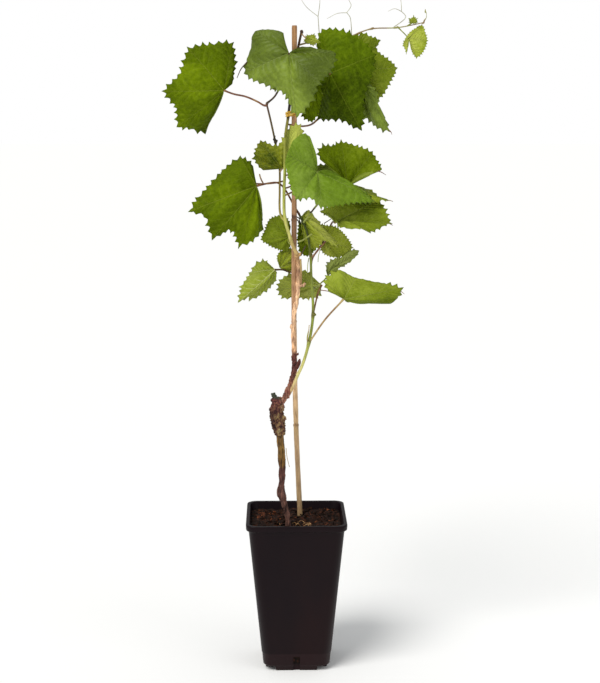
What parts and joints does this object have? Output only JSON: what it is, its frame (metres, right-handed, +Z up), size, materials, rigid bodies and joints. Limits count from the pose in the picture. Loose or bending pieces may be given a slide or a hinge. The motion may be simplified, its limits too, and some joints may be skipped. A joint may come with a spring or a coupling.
{
  "type": "potted grapevine",
  "caption": "Young grafted grapevine tied to a bamboo cane, in a tall square nursery pot filled with compost, with lobed leaves on curved shoots and tendrils at the top",
  "frame": {"origin": "centre of the flat underside of the pot, which stands on the surface", "axes": "+Z up along the cane, +X towards the shoot tip with the tendrils, +Y to the back, away from the side that most leaves face"},
  "size_m": [0.3046, 0.1289, 0.8201],
  "materials": {
    "pot": "satin black with a soft sheen",
    "compost": "rough dark bark compost",
    "bamboo": "smooth split-free bamboo skin with rings",
    "tie": "soft yellow binding",
    "old_wood": "rough bark",
    "brown_shoot": "smooth ripening shoot",
    "green_shoot": "smooth soft shoot",
    "tendril": "thin dry tendril",
    "leaf": "soft leaf with raised veins",
    "young_leaf": "pale young leaf"
  },
  "bodies": {
    "root": {"bamboo_cane": "bamboo", "compost": "compost", "graft_union": "old_wood", "lateral_shoot": "brown_shoot", "leaf_back_centre": "leaf", "leaf_back_left": "leaf", "leaf_back_top": "leaf", "leaf_back_upper": "leaf", "leaf_behind_cane": "leaf", "leaf_behind_left": "leaf", "leaf_centre_front": "leaf", "leaf_centre_left": "leaf", "leaf_folded": "young_leaf", "leaf_grey": "leaf", "leaf_left_inner": "leaf", "leaf_low_behind": "leaf", "leaf_low_left": "leaf", "leaf_low_right": "young_leaf", "leaf_middle_left": "leaf", "leaf_right_back": "leaf", "leaf_right_fan": "leaf", "leaf_right_flat": "leaf", "leaf_right_low": "leaf", "leaf_right_lower": "leaf", "leaf_tip_large": "young_leaf", "leaf_tip_small": "young_leaf", "leaf_top_bud": "young_leaf", "leaf_under_middle": "leaf", "leaf_upper_left": "leaf", "leaf_upper_middle": "leaf", "leaf_upper_right": "leaf", "leaf_yellow": "young_leaf", "main_shoot_lower": "brown_shoot", "main_shoot_middle": "green_shoot", "main_shoot_upper": "brown_shoot", "pot": "pot", "scion_arm": "brown_shoot", "second_shoot": "green_shoot", "tendril_left": "tendril", "tendril_middle": "tendril", "tendril_right": "tendril", "tie": "tie", "top_shoot": "brown_shoot", "trunk": "old_wood"}
  },
  "joints": []
}
